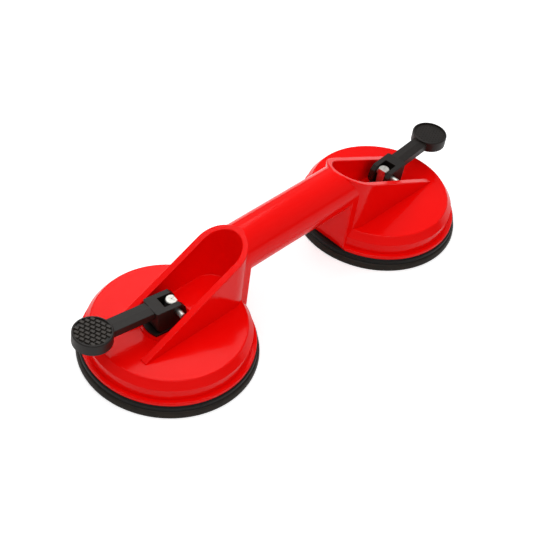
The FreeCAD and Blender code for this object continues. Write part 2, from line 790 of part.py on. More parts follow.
def cam_curve():
    """The cam's working edge, seen from the side with the pin at the origin.

    The pin's height over the washer falls in proportion to the lever's angle, from the
    locked height to the released one, so the curve is the envelope of the washer's face.
    """
    locked = S["cam_locked"].value
    step = CAM_STEP.value
    points = []
    count = 9
    for i in range(count):
        angle = math.pi / 2 * i / (count - 1)
        height = locked - step * angle
        x = -height * math.sin(angle) + step * math.cos(angle)
        z = -height * math.cos(angle) - step * math.sin(angle)
        points.append(Vector(x, z, 0))
    curve = Part.BSplineCurve()
    curve.interpolate(
        Points=points,
        InitialTangent=Vector(-locked, 0, 0),
        FinalTangent=Vector(0, S["cam_released"].value, 0),
        Parameters=[math.pi / 2 * i / (count - 1) for i in range(count)],
    )
    return curve


def lever_fork(body, name):
    """The forked end: cam below, bevelled nose, and a toe that rests flat when locked."""
    profile = new_sketch(body, f"{name}_fork_profile", "XZ_Plane", up=PIN_HEIGHT)
    corners = (
        (-S["cam_released"], -CAM_STEP),
        (-S["fork_end"], S["fork_top"] - S["fork_nose_drop"]),
        (S["fork_nose"] - S["fork_end"], S["fork_top"]),
        (S["fork_length"], S["fork_top"]),
        (S["cam_toe"], -S["cam_locked"] + S["cam_toe_rise"]),
        (S["cam_flat_end"], -S["cam_locked"]),
        (CAM_STEP, -S["cam_locked"]),
    )
    points = [point(x, y) for x, y in corners]
    edges = [line(profile, a, b) for a, b in zip(points, points[1:])]
    for edge, following in zip(edges, edges[1:]):
        tie(profile, "Coincident", edge, "end", following, "start")
    for edge, (x, y) in zip(edges[1:], corners[1:]):
        fix_corner(profile, edge, "start", x, y)
    cam = profile.addGeometry(cam_curve(), False)
    tie(profile, "Block", cam)
    tie(profile, "Coincident", edges[-1], "end", cam, "start")
    tie(profile, "Coincident", cam, "end", edges[0], "start")
    block = pad(body, f"{name}_fork", profile, S["fork_width"], midplane=True)
    round_edges(body, f"{name}_fork_corners", block, at_shoulder, S["fork_corner_round"])


def at_shoulder(edge):
    """True for the two upright corners of the fork on the thumb piece's side."""
    box = edge.BoundBox
    return box.XMin > S["cam_toe"].value - 1e-3 and box.ZLength > S["fork_top"].value


def lever_arm(body, name):
    """The crowned shank and the round thumb piece at its end."""
    low = S["fork_top"] - S["shank_thickness"]
    half = S["shank_width"] / 2
    root = (S["slot_length"] + S["fork_length"]) / 2
    shank = new_sketch(body, f"{name}_shank_profile", "YZ_Plane", up=PIN_HEIGHT, out=root)
    outline(shank, (
        (-half, low),
        (half, low),
        (half, S["fork_top"] - S["shank_crown"]),
        (0, S["fork_top"]),
        (-half, S["fork_top"] - S["shank_crown"]),
    ))
    pad(body, f"{name}_shank", shank, S["thumb_distance"] - root)

    thumb = new_sketch(
        body, f"{name}_thumb_outline", "XY_Plane", out=PIN_HEIGHT + S["thumb_top"] - S["thumb_thickness"]
    )
    circle(thumb, S["thumb_radius"], x=S["thumb_distance"])
    disc = pad(body, f"{name}_thumb", thumb, S["thumb_thickness"])
    thumb_level = PIN_HEIGHT + S["thumb_top"]
    round_edges(
        body, f"{name}_thumb_edge", disc, lambda e: circle_at(e, S["thumb_radius"], thumb_level),
        S["thumb_edge_round"],
    )
    dish = new_sketch(body, f"{name}_dish_outline", "XY_Plane", out=thumb_level)
    circle(dish, S["thumb_radius"] - S["thumb_rim"], x=S["thumb_distance"])
    pocket(body, f"{name}_dish", dish, S["thumb_recess"])


def lever(name):
    body = new_body(name)
    lever_fork(body, name)
    lever_arm(body, name)

    slot = new_sketch(body, f"{name}_slot_outline", "XY_Plane")
    half = S["slot_width"] / 2
    outline(slot, (
        (-S["cam_released"] * 2, -half),
        (S["slot_length"], -half),
        (S["slot_length"], half),
        (-S["cam_released"] * 2, half),
    ))
    pocket(body, f"{name}_slot", slot, PIN_HEIGHT * 2, reverse=True)

    bore = new_sketch(body, f"{name}_bore_outline", "XZ_Plane", up=PIN_HEIGHT)
    circle(bore, S["pin_radius"] + S["pin_gap"])
    pocket(body, f"{name}_bore", bore, S["fork_width"] * 2, midplane=True)
    for side, sign in (("left", 1), ("right", -1)):
        face = S["fork_width"] / 2
        recess = new_sketch(
            body, f"{name}_{side}_recess_outline", "XZ_Plane", up=PIN_HEIGHT, out=-face * sign
        )
        circle(recess, S["pin_recess_radius"])
        pocket(body, f"{name}_{side}_recess", recess, S["pin_recess_depth"], reverse=sign > 0)
    return body


# ---------------------------------------------------------------- both cups, and the files


def place(body, x, heading, drop):
    """Sets a piece on its cup, turned to the lever's heading and let down by drop."""
    body.Placement = FreeCAD.Placement(Vector(0, 0, 0), FreeCAD.Rotation(Vector(0, 0, 1), 1))
    body.setExpression("Placement.Base.x", x.text)
    body.setExpression("Placement.Base.z", (-drop).text)
    body.setExpression("Placement.Rotation.Angle", heading.text)


def place_raised(body, x, heading, drop, rise):
    """As place, with the piece also raised about the pin by an angle."""
    stand = f"placement(vector({x.text}; 0; {(-drop).text}); rotation(vector(0; 0; 1); {heading.text}))"
    swing = f"placement(vector(0; 0; 0); rotation(vector(0; -1; 0); {rise.text}); vector(0; 0; {PIN_HEIGHT.text}))"
    body.setExpression("Placement", f"{stand} * {swing}")


def cup_pieces(cup, side, yaw, rise):
    """The loose pieces of one cup, each in its own body, set as its lever stands."""
    x = CUP_X * side
    heading = yaw if side > 0 else as_size(180) - yaw
    drop = CAM_STEP * math.radians(1) * rise
    held = [rubber_pad(f"{cup}_suction_pad"), cam_washer(f"{cup}_cam_washer")]
    for body in held:
        place(body, x, heading, as_size(0))
    lifted = [
        insert_disc(f"{cup}_insert_disc"),
        stud(f"{cup}_stud"),
        pivot_pin(f"{cup}_pivot_pin", S["pin_shift"] * side),
    ]
    for body in lifted:
        place(body, x, heading, drop)
    arm = lever(f"{cup}_lever")
    place_raised(arm, x, heading, drop, rise)
    return held + lifted + [arm]


def check(document):
    """Stops if any object failed to compute."""
    for item in document.Objects:
        if {"Invalid", "Error"} & set(item.State):
            raise RuntimeError(f"{item.Name} failed: {item.State}")


def write(bodies):
    os.makedirs("parts", exist_ok=True)
    for body in bodies:
        shape = body.Shape
        if shape.isNull() or not shape.isValid() or len(shape.Solids) != 1:
            raise RuntimeError(f"{body.Label} is not one valid solid")
        shape.exportStep(os.path.join("parts", f"{body.Label}.step"))
        box = shape.BoundBox
        print(f"{body.Label}: {shape.Volume:.0f} mm3, z {box.ZMin:.2f} to {box.ZMax:.2f}")


parts = [body_moulding()]
parts += cup_pieces("front", -1, S["front_yaw"], S["front_lever_rise"])
parts += cup_pieces("rear", 1, S["rear_yaw"], as_size(0))
doc.recompute()
check(doc)
write(parts)
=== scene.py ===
"""Looks of a twin-cup suction lifter for floor tiles: glossy red moulding, black rubber pads,
black cam levers and bright steel studs. Everything is in metres, in the frame of the solids.
"""
import json
import math

import bmesh
import bpy
from mathutils import Matrix, Vector


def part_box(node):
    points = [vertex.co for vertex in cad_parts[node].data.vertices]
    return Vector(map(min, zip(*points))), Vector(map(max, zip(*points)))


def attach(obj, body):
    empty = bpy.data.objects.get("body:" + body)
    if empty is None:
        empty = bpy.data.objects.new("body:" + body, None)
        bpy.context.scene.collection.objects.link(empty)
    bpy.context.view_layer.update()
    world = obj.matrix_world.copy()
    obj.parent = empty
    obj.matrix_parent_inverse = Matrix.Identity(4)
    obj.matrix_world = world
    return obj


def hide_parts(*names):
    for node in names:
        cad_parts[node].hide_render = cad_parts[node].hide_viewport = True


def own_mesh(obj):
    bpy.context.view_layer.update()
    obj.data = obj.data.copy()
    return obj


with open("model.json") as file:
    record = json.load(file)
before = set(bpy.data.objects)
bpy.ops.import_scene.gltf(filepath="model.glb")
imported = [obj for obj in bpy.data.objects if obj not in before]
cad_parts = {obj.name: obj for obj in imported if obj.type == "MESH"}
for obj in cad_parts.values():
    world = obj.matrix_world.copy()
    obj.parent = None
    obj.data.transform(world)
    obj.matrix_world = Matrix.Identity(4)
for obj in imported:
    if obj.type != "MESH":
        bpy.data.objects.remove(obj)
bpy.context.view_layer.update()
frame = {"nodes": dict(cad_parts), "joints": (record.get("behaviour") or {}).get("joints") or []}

MM = 0.001
CUPS = ("front", "rear")


def middle_of(node):
    low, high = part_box(node)
    return (Vector(low) + Vector(high)) / 2


def lever_place(cup):
    """Sets points written along a lever, from its pin, in their place on the tool."""
    turn = next(joint for joint in frame["joints"] if joint["name"] == f"{cup}_lever_turn")
    axle = Vector(turn["axis"])
    up = Vector((0, 0, 1))
    along = up.cross(axle)
    flat = Matrix((along, up.cross(along), up)).transposed()
    raised = Matrix.Rotation(math.radians(-turn["range_deg"][0]), 3, axle)
    return Matrix.Translation(turn["pos_m"]) @ (raised @ flat).to_4x4()


# ---------------------------------------------------------------- materials


def linear(code):
    """A linear colour from an sRGB hex code."""
    parts = [int(code[i:i + 2], 16) / 255 for i in (1, 3, 5)]
    bent = (c / 12.92 if c <= 0.04045 else ((c + 0.055) / 1.055) ** 2.4 for c in parts)
    return (*bent, 1.0)


def add(tree, kind, inputs=None, **settings):
    """Adds a node, sets its properties, and gives its inputs values or links."""
    made = tree.nodes.new(kind)
    for name, value in settings.items():
        setattr(made, name, value)
    for name, value in (inputs or {}).items():
        if isinstance(value, bpy.types.NodeSocket):
            tree.links.new(value, made.inputs[name])
        else:
            made.inputs[name].default_value = value
    return made


def new_material(name):
    material = bpy.data.materials.new(name)
    material.use_nodes = True
    material.node_tree.nodes.clear()
    return material, material.node_tree


def moulded_red_abs():
    """Injection-moulded ABS: strong red all through, a gloss from the polished mould, and the
    slight waviness and orange peel that cooling leaves."""
    material, tree = new_material("moulded_red_abs")
    place = add(tree, "ShaderNodeTexCoord").outputs["Object"]
    flow = add(tree, "ShaderNodeTexNoise", {"Vector": place, "Scale": 38.0, "Detail": 2.0})
    colour = add(
        tree, "ShaderNodeMix",
        {0: flow.outputs["Fac"], 6: linear("#F60503"), 7: linear("#FC0A06")}, data_type="RGBA",
    )
    handling = add(tree, "ShaderNodeTexNoise", {"Vector": place, "Scale": 90.0, "Detail": 4.0})
    gloss = add(
        tree, "ShaderNodeMapRange",
        {
            "Value": handling.outputs["Fac"],
            "From Min": 0.3, "From Max": 0.75, "To Min": 0.1, "To Max": 0.2,
        },
    )
    # sink waves about 25 mm apart, then orange peel about 1 mm apart
    waves = add(tree, "ShaderNodeTexNoise", {"Vector": place, "Scale": 40.0, "Detail": 1.0})
    peel = add(tree, "ShaderNodeTexNoise", {"Vector": place, "Scale": 900.0, "Detail": 1.0})
    wavy = add(
        tree, "ShaderNodeBump",
        {"Strength": 0.5, "Distance": 0.35 * MM, "Height": waves.outputs["Fac"]},
    )
    peeled = add(
        tree, "ShaderNodeBump",
        {
            "Strength": 0.35, "Distance": 0.02 * MM,
            "Height": peel.outputs["Fac"], "Normal": wavy.outputs[0],
        },
    )
    shader = add(
        tree, "ShaderNodeBsdfPrincipled",
        {
            "Base Color": colour.outputs[2],
            "Roughness": gloss.outputs["Result"],
            "IOR": 1.53,
            "Specular IOR Level": 0.11,
            "Normal": peeled.outputs[0],
        },
    )
    add(tree, "ShaderNodeOutputMaterial", {"Surface": shader.outputs[0]})
    return material


def moulded_black_nylon(name, dark, pale):
    """Glass-filled nylon: near black with a satin skin and the fine grain of a sparked mould. It
    gets paler where it is rubbed."""
    material, tree = new_material(name)
    place = add(tree, "ShaderNodeTexCoord").outputs["Object"]
    cloud = add(tree, "ShaderNodeTexNoise", {"Vector": place, "Scale": 160.0, "Detail": 3.0})
    colour = add(
        tree, "ShaderNodeMix",
        {0: cloud.outputs["Fac"], 6: linear(dark), 7: linear(pale)}, data_type="RGBA",
    )
    rough = add(
        tree, "ShaderNodeMapRange", {"Value": cloud.outputs["Fac"], "To Min": 0.36, "To Max": 0.52}
    )
    # grain about 0.5 mm apart, coarser than the real 0.1 mm so that it shows
    grain = add(tree, "ShaderNodeTexNoise", {"Vector": place, "Scale": 2000.0, "Detail": 2.0})
    edges = add(tree, "ShaderNodeBevel", {"Radius": 0.45 * MM}, samples=6)
    sparked = add(
        tree, "ShaderNodeBump",
        {
            "Strength": 0.5, "Distance": 0.05 * MM,
            "Height": grain.outputs["Fac"], "Normal": edges.outputs[0],
        },
    )
    shader = add(
        tree, "ShaderNodeBsdfPrincipled",
        {
            "Base Color": colour.outputs[2],
            "Roughness": rough.outputs["Result"],
            "IOR": 1.53,
            "Specular IOR Level": 0.28,
            "Normal": sparked.outputs[0],
        },
    )
    add(tree, "ShaderNodeOutputMaterial", {"Surface": shader.outputs[0]})
    return material


def cured_black_rubber(lip_height):
    """Natural rubber filled with carbon black: satin, the sealing lip greyer with bloom and a
    painted highlight.
    """
    material, tree = new_material("cured_black_rubber")
    place = add(tree, "ShaderNodeTexCoord").outputs["Object"]
    height = add(tree, "ShaderNodeSeparateXYZ", {"Vector": place}).outputs["Z"]
    lip = add(
        tree, "ShaderNodeMapRange",
        {
            "Value": height, "From Min": lip_height, "From Max": lip_height + 0.5 * MM,
            "To Min": 1.0, "To Max": 0.0,
        },
    )
    bloom = add(tree, "ShaderNodeTexNoise", {"Vector": place, "Scale": 220.0, "Detail": 4.0})
    # the lip band, broken up by the bloom noise, is painted paler: partly bloom, partly a painted
    # highlight along the lip
    bloom_and_lip_highlight = add(
        tree, "ShaderNodeMath", {0: lip.outputs["Result"], 1: bloom.outputs["Fac"]},
        operation="MULTIPLY",
    )
    colour = add(
        tree, "ShaderNodeMix",
        {0: bloom_and_lip_highlight.outputs[0], 6: linear("#0D0A07"), 7: linear("#30281F")}, data_type="RGBA",
    )
    rough = add(
        tree, "ShaderNodeMapRange", {"Value": bloom.outputs["Fac"], "To Min": 0.42, "To Max": 0.6}
    )
    skin = add(tree, "ShaderNodeTexNoise", {"Vector": place, "Scale": 1400.0, "Detail": 2.0})
    grain = add(
        tree, "ShaderNodeBump",
        {"Strength": 0.4, "Distance": 0.04 * MM, "Height": skin.outputs["Fac"]},
    )
    shader = add(
        tree, "ShaderNodeBsdfPrincipled",
        {
            "Base Color": colour.outputs[2],
            "Roughness": rough.outputs["Result"],
            "IOR": 1.52,
            "Specular IOR Level": 0.2,
            "Normal": grain.outputs[0],
        },
    )
    add(tree, "ShaderNodeOutputMaterial", {"Surface": shader.outputs[0]})
    return material


def zinc_plated_steel():
    """Turned steel with bright zinc plating: pale, slightly clouded, with soft turning marks."""
    material, tree = new_material("zinc_plated_steel")
    place = add(tree, "ShaderNodeTexCoord").outputs["Object"]
    cloud = add(tree, "ShaderNodeTexNoise", {"Vector": place, "Scale": 420.0, "Detail": 4.0})
    colour = add(
        tree, "ShaderNodeMix",
        {0: cloud.outputs["Fac"], 6: linear("#A5A39C"), 7: linear("#E6E4DE")}, data_type="RGBA",
    )
    rough = add(
        tree, "ShaderNodeMapRange", {"Value": cloud.outputs["Fac"], "To Min": 0.34, "To Max": 0.5}
    )
    edges = add(tree, "ShaderNodeBevel", {"Radius": 0.25 * MM}, samples=6)
    marks = add(tree, "ShaderNodeTexNoise", {"Vector": place, "Scale": 2500.0, "Detail": 2.0})
    turned = add(
        tree, "ShaderNodeBump",
        {
            "Strength": 0.4, "Distance": 0.02 * MM,
            "Height": marks.outputs["Fac"], "Normal": edges.outputs[0],
        },
    )
    shader = add(
        tree, "ShaderNodeBsdfPrincipled",
        {
            "Base Color": colour.outputs[2],
            "Metallic": 1.0,
            "Roughness": rough.outputs["Result"],
            "Normal": turned.outputs[0],
        },
    )
    add(tree, "ShaderNodeOutputMaterial", {"Surface": shader.outputs[0]})
    return material


def white_paper_sweep():
    """Matt white studio paper, shown as white to the camera and in reflections. The light that it
    throws on the tool is its own diffuse light alone."""
    lift_in_view, lift_in_mirrors = 0.42, 0.12
    material, tree = new_material("white_paper_sweep")
    paper = add(tree, "ShaderNodeBsdfDiffuse", {"Color": linear("#F7F7F7")})
    path = add(tree, "ShaderNodeLightPath")
    mirrored = add(
        tree, "ShaderNodeMath",
        {0: path.outputs["Is Glossy Ray"], 1: path.outputs["Is Transmission Ray"]},
        operation="MAXIMUM",
    )
    faint = add(
        tree, "ShaderNodeMath", {0: mirrored.outputs[0], 1: lift_in_mirrors}, operation="MULTIPLY"
    )
    direct = add(
        tree, "ShaderNodeMath", {0: path.outputs["Is Camera Ray"], 1: lift_in_view},
        operation="MULTIPLY",
    )
    lift = add(
        tree, "ShaderNodeMath", {0: faint.outputs[0], 1: direct.outputs[0]}, operation="MAXIMUM"
    )
    glow = add(tree, "ShaderNodeEmission", {"Color": (1, 1, 1, 1), "Strength": lift.outputs[0]})
    both = add(tree, "ShaderNodeAddShader", {0: paper.outputs[0], 1: glow.outputs[0]})
    add(tree, "ShaderNodeOutputMaterial", {"Surface": both.outputs[0]})
    return material


# ---------------------------------------------------------------- mesh making


def finish_mesh(piece, material, sharp_angle=35.0):
    """Turns the faces outward, shades them smooth between sharp edges and gives the material."""
    shell = bmesh.new()
    shell.from_mesh(piece.data)
    bmesh.ops.remove_doubles(shell, verts=shell.verts, dist=1e-7)
    bmesh.ops.recalc_face_normals(shell, faces=shell.faces)
    shell.to_mesh(piece.data)
    shell.free()
    piece.data.materials.clear()
    piece.data.materials.append(material)
    for face in piece.data.polygons:
        face.use_smooth = True
    piece.data.set_sharp_from_angle(angle=math.radians(sharp_angle))
    return piece


def new_piece(name, mesh):
    piece = bpy.data.objects.new(name, mesh)
    bpy.context.scene.collection.objects.link(piece)
    return piece


def piece_from(name, shell):
    """Makes a piece of what was built in the shell, and lets the shell go."""
    mesh = bpy.data.meshes.new(name)
    shell.to_mesh(mesh)
    shell.free()
    return new_piece(name, mesh)


def softened(points, radius, steps=3):
    """The closed outline with each corner rounded, as far as its neighbours leave room."""
    out = []
    count = len(points)
    for i, corner in enumerate(points):
        corner = Vector(corner)
        before = Vector(points[i - 1]) - corner
        after = Vector(points[(i + 1) % count]) - corner
        if corner.x < 1e-9:
            out.append(corner)
            continue
        cut = min(radius, before.length * 0.45, after.length * 0.45)
        start = corner + before.normalized() * cut
        end = corner + after.normalized() * cut
        for step in range(steps + 1):
            t = step / steps
            out.append(start * (1 - t) ** 2 + corner * 2 * t * (1 - t) + end * t ** 2)
    return out


def lathe(name, outline, centre, steps=192):
    """A piece turned about an upright axis from a closed outline of (radius, height) in mm."""
    shell = bmesh.new()
    rows = []
    for r, z in outline:
        height = z * MM
        if r < 1e-6:
            rows.append([shell.verts.new((centre.x, centre.y, height))])
            continue
        ring = []
        for step in range(steps):
            turn = 2 * math.pi * step / steps
            ring.append(shell.verts.new(
                (centre.x + r * MM * math.cos(turn), centre.y + r * MM * math.sin(turn), height)
            ))
        rows.append(ring)
    for row, following in zip(rows, rows[1:] + rows[:1]):
        if len(row) == 1 and len(following) == 1:
            continue
        for step in range(steps):
            after = (step + 1) % steps
            corners = [
                row[step % len(row)], row[after % len(row)],
                following[after % len(following)], following[step % len(following)],
            ]
            shell.faces.new(list(dict.fromkeys(corners)))
    return piece_from(name, shell)


# ---------------------------------------------------------------- rubber pads

PAD_RADIUS = 59.0
RIM_INNER = 50.0
DOME_RADIUS = 52.0
DOME_HEIGHT = 7.4
HUB_RADIUS = 30.6
HUB_TOP = 17.4
HUB_FOOT = 9.6
LIP_HEIGHT = 4.4


def dome(radius):
    """Height of the pad's hollow underside at a radius, in mm."""
    return DOME_HEIGHT * (1 - (radius / DOME_RADIUS) ** 2)


def pad_rim(cup, rubber):
    """The pad's rim: stepped outer edge, and a sealing lip with fine rings on the tile side."""
    outline = [
        (DOME_RADIUS, 0.0), (53.2, 0.0), (53.5, 0.35), (54.1, 0.35), (54.4, 0.0),
        (55.3, 0.0), (55.6, 0.35), (56.2, 0.35), (56.5, 0.0),
        (58.8, 0.0), (PAD_RADIUS, 0.4), (58.9, 1.9), (58.3, 4.0), (57.8, LIP_HEIGHT), (57.1, 4.7),
        (57.2, 5.2), (57.5, 5.5), (57.5, 7.9), (56.7, 8.8), (RIM_INNER, 8.8),
        (RIM_INNER, dome(RIM_INNER)),
    ]
    rim = lathe(f"{cup}_pad_rim", softened(outline, 0.35, steps=2), middle_of(f"{cup}_stud"))
    finish_mesh(rim, rubber, sharp_angle=50)
    return rim


def pad_membrane(cup, rubber):
    """The flexible skin between rim and hub, hollow towards the tile."""
    reach = RIM_INNER + 0.8
    under = [(reach * i / 24, dome(reach * i / 24) + (0.08 if i == 24 else 0.0)) for i in range(25)]
    over = [(reach, 8.3), (44.0, 8.6), (33.5, 9.4), (30.9, 10.6), (28.0, 12.6), (0.0, 12.8)]
    skin = lathe(f"{cup}_pad_membrane", under + over, middle_of(f"{cup}_stud"))
    return finish_mesh(skin, rubber, sharp_angle=50)


def pad_hub(cup, rubber):
    """The pad's thick middle, moulded round the steel disc, which moves with the stud."""
    outline = [
        (4.15, HUB_FOOT), (HUB_RADIUS, HUB_FOOT), (HUB_RADIUS - 0.5, HUB_TOP - 1.4),
        (HUB_RADIUS - 2.2, HUB_TOP), (4.15, HUB_TOP),
    ]
    hub = lathe(f"{cup}_pad_hub", softened(outline, 1.2), middle_of(f"{cup}_stud"), steps=128)
    return finish_mesh(hub, rubber, sharp_angle=50)


def rubber_pads(rubber):
    for cup in CUPS:
        node = f"{cup}_suction_pad"
        rim = pad_rim(cup, rubber)
        skin = pad_membrane(cup, rubber)
        hub = pad_hub(cup, rubber)
        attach(rim, f"{cup}_swivel")
        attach(skin, f"{cup}_swivel")
        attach(hub, f"{cup}_lift")
        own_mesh(skin)
        for piece in (rim, skin, hub):
            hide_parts(node)


# ---------------------------------------------------------------- thumb pieces

THUMB_REACH = 57.0
TREAD_RADIUS = 11.4
RECESS_FLOOR = 5.4


def tread_tree():
    """Raised blocks in staggered rows over a round face, as one tree with named sizes."""
    tree = bpy.data.node_groups.new("thumb_tread", "GeometryNodeTree")
    sizes = {
        "Block Length": 3.2 * MM, "Block Width": 2.2 * MM, "Block Height": 1.0 * MM,
        "Column Pitch": 3.8 * MM, "Row Pitch": 2.9 * MM, "Face Radius": TREAD_RADIUS * MM,
        "Turn": 0.0,
    }
    for name, value in sizes.items():
        socket = tree.interface.new_socket(name, in_out="INPUT", socket_type="NodeSocketFloat")
        socket.default_value = value
    tree.interface.new_socket("Material", in_out="INPUT", socket_type="NodeSocketMaterial")
    tree.interface.new_socket("Geometry", in_out="OUTPUT", socket_type="NodeSocketGeometry")
    given = add(tree, "NodeGroupInput").outputs

    columns, rows = 9, 11
    wide = add(
        tree, "ShaderNodeMath", {0: given["Column Pitch"], 1: columns - 1.0}, operation="MULTIPLY"
    )
    deep = add(tree, "ShaderNodeMath", {0: given["Row Pitch"], 1: rows - 1.0}, operation="MULTIPLY")
    grid = add(
        tree, "GeometryNodeMeshGrid",
        {
            "Size X": wide.outputs[0], "Size Y": deep.outputs[0],
            "Vertices X": columns, "Vertices Y": rows,
        },
    )
    where = add(tree, "GeometryNodeInputPosition")
    split = add(tree, "ShaderNodeSeparateXYZ", {"Vector": where.outputs[0]})
    row = add(
        tree, "ShaderNodeMath", {0: split.outputs["Y"], 1: given["Row Pitch"]}, operation="DIVIDE"
    )
    whole = add(tree, "ShaderNodeMath", {0: row.outputs[0]}, operation="ROUND")
    odd = add(tree, "ShaderNodeMath", {0: whole.outputs[0], 1: 2.0}, operation="FLOORED_MODULO")
    half = add(tree, "ShaderNodeMath", {0: given["Column Pitch"], 1: 0.5}, operation="MULTIPLY")
    step = add(
        tree, "ShaderNodeMath", {0: odd.outputs[0], 1: half.outputs[0]}, operation="MULTIPLY"
    )
    shift = add(tree, "ShaderNodeCombineXYZ", {"X": step.outputs[0]})
    staggered = add(
        tree, "GeometryNodeSetPosition",
        {"Geometry": grid.outputs["Mesh"], "Offset": shift.outputs[0]},
    )
    out = add(tree, "ShaderNodeVectorMath", {0: where.outputs[0]}, operation="LENGTH")
    limit = add(
        tree, "ShaderNodeMath", {0: given["Face Radius"], 1: 0.3 * MM}, operation="SUBTRACT"
    )
    beyond = add(
        tree, "FunctionNodeCompare", {0: out.outputs["Value"], 1: limit.outputs[0]},
        data_type="FLOAT", operation="GREATER_THAN",
    )
    kept = add(
        tree, "GeometryNodeDeleteGeometry",
        {"Geometry": staggered.outputs[0], "Selection": beyond.outputs[0]}, domain="POINT",
    )
    # a four-sided cone of side 1, tapering as the mould's draft makes it
    block = add(
        tree, "GeometryNodeMeshCone",
        {"Vertices": 4, "Radius Top": 0.6, "Radius Bottom": math.sqrt(0.5), "Depth": 1.0},
    )
    squared = add(
        tree, "GeometryNodeTransform",
        {"Geometry": block.outputs["Mesh"], "Rotation": (0, 0, math.pi / 4)},
    )
    size = add(
        tree, "ShaderNodeCombineXYZ",
        {"X": given["Block Length"], "Y": given["Block Width"], "Z": given["Block Height"]},
    )
    blocks = add(
        tree, "GeometryNodeInstanceOnPoints",
        {"Points": kept.outputs[0], "Instance": squared.outputs[0], "Scale": size.outputs[0]},
    )
    turn = add(tree, "ShaderNodeCombineXYZ", {"Z": given["Turn"]})
    real = add(tree, "GeometryNodeRealizeInstances", {"Geometry": blocks.outputs[0]})
    placed = add(
        tree, "GeometryNodeTransform",
        {"Geometry": real.outputs[0], "Rotation": turn.outputs[0]},
    )
    finished = add(
        tree, "GeometryNodeSetMaterial",
        {"Geometry": placed.outputs[0], "Material": given["Material"]},
    )
    add(tree, "NodeGroupOutput", {"Geometry": finished.outputs[0]})
    return tree


def grown(name, tree, values):
    """Runs a tree with these input values and keeps what it makes as a plain mesh."""
    seed = new_piece(f"{name}_seed", bpy.data.meshes.new(f"{name}_seed"))
    modifier = seed.modifiers.new("grow", "NODES")
    modifier.node_group = tree
    identifiers = {
        item.name: item.identifier for item in tree.interface.items_tree if item.in_out == "INPUT"
    }
    for key, value in values.items():
        modifier[identifiers[key]] = value
    bpy.context.view_layer.update()
    evaluated = seed.evaluated_get(bpy.context.evaluated_depsgraph_get())
    mesh = bpy.data.meshes.new_from_object(evaluated)
    mesh.name = name
    bpy.data.objects.remove(seed)
    return new_piece(name, mesh)


def on_thumb(cup, piece, sunk):
    """Lays a piece made flat about the origin on the floor of a thumb piece's recess."""
    middle = Matrix.Translation((THUMB_REACH * MM, 0, (RECESS_FLOOR - sunk) * MM))
    piece.data.transform(lever_place(cup) @ middle)


def thumb_treads(nylon, rubbed):
    """Basket-pattern blocks on the front thumb piece and a fine knurl on the rear one."""
    tree = tread_tree()
    front = grown("front_thumb_tread", tree, {"Turn": math.radians(115.0), "Material": rubbed})
    rear = grown("rear_thumb_knurl", tree, {
        "Block Length": 0.75 * MM, "Block Width": 0.75 * MM, "Block Height": 0.25 * MM,
        "Column Pitch": 2.6 * MM, "Row Pitch": 2.0 * MM,
        "Turn": math.radians(20.0),
        "Material": nylon,
    })
    for cup, piece, sunk in (("front", front, 0.05), ("rear", rear, 0.02)):
        on_thumb(cup, piece, sunk)
        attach(piece, f"{cup}_lever")


# ---------------------------------------------------------------- moulding details

POCKET_FLOOR = 24.7
STEP_TOP = 29.0
STEP_SUNK = 0.4
POCKET_APEX = 51.9
POCKET_RADIUS = 14.0
CAM_RECESS = 12.2
STEP_END = 92.0
COVE = 0.9
# from the step's foot up: how far each ring is drawn in, rises at the wall, drops at free edges
STEP_RINGS = (
    (0.0, POCKET_FLOOR - STEP_SUNK - STEP_TOP, STEP_TOP - POCKET_FLOOR + STEP_SUNK),
    (0.0, COVE, COVE),
    (COVE * 0.1, COVE * 0.5, COVE * 0.5),
    (COVE * 0.4, COVE * 0.12, COVE * 0.12),
    (COVE, 0.0, 0.0),
)
GRIP_RADIUS = 16.0
GRIP_AXIS = 54.6


def step_outline(inset, cup_axis):
    """The pocket step's outline, drawn in by an inset, as (x, y, True along the pocket's wall)."""
    centre = POCKET_APEX + POCKET_RADIUS
    wall = POCKET_RADIUS - inset
    recess = CAM_RECESS + inset
    end = STEP_END - inset
    points = [(end, -wall, True)]
    wall_steps, recess_steps = 32, 24
    for i in range(wall_steps + 1):
        turn = math.pi * (1.5 - i / wall_steps)
        points.append((centre + wall * math.cos(turn), wall * math.sin(turn), True))
    points.append((end, wall, True))
    reach = math.acos((cup_axis - end) / recess)
    for i in range(recess_steps + 1):
        turn = math.pi - reach + 2 * reach * i / recess_steps
        points.append((cup_axis + recess * math.cos(turn), recess * math.sin(turn), False))
    return points


def pocket_steps(red):
    """The raised floor of each pocket, coved into its wall and cut round for the cam."""
    for cup in CUPS:
        axis = middle_of(f"{cup}_stud").x / MM
        side = math.copysign(1.0, axis)
        shell = bmesh.new()
        rings = []
        for inset, wall_rise, edge_drop in STEP_RINGS:
            ring = []
            for x, y, on_wall in step_outline(inset, abs(axis)):
                height = STEP_TOP + (wall_rise if on_wall else -edge_drop)
                ring.append(shell.verts.new((side * x * MM, y * MM, height * MM)))
            rings.append(ring)
        for ring, following in zip(rings, rings[1:]):
            for i in range(len(ring)):
                after = (i + 1) % len(ring)
                shell.faces.new((ring[i], ring[after], following[after], following[i]))
        for ring in (rings[0], rings[-1]):
            shell.faces.new(ring)
        bmesh.ops.triangulate(shell, faces=[face for face in shell.faces if len(face.verts) > 4])
        step = piece_from(f"{cup}_pocket_step", shell)
        finish_mesh(step, red, sharp_angle=60)
        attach(step, "frame")


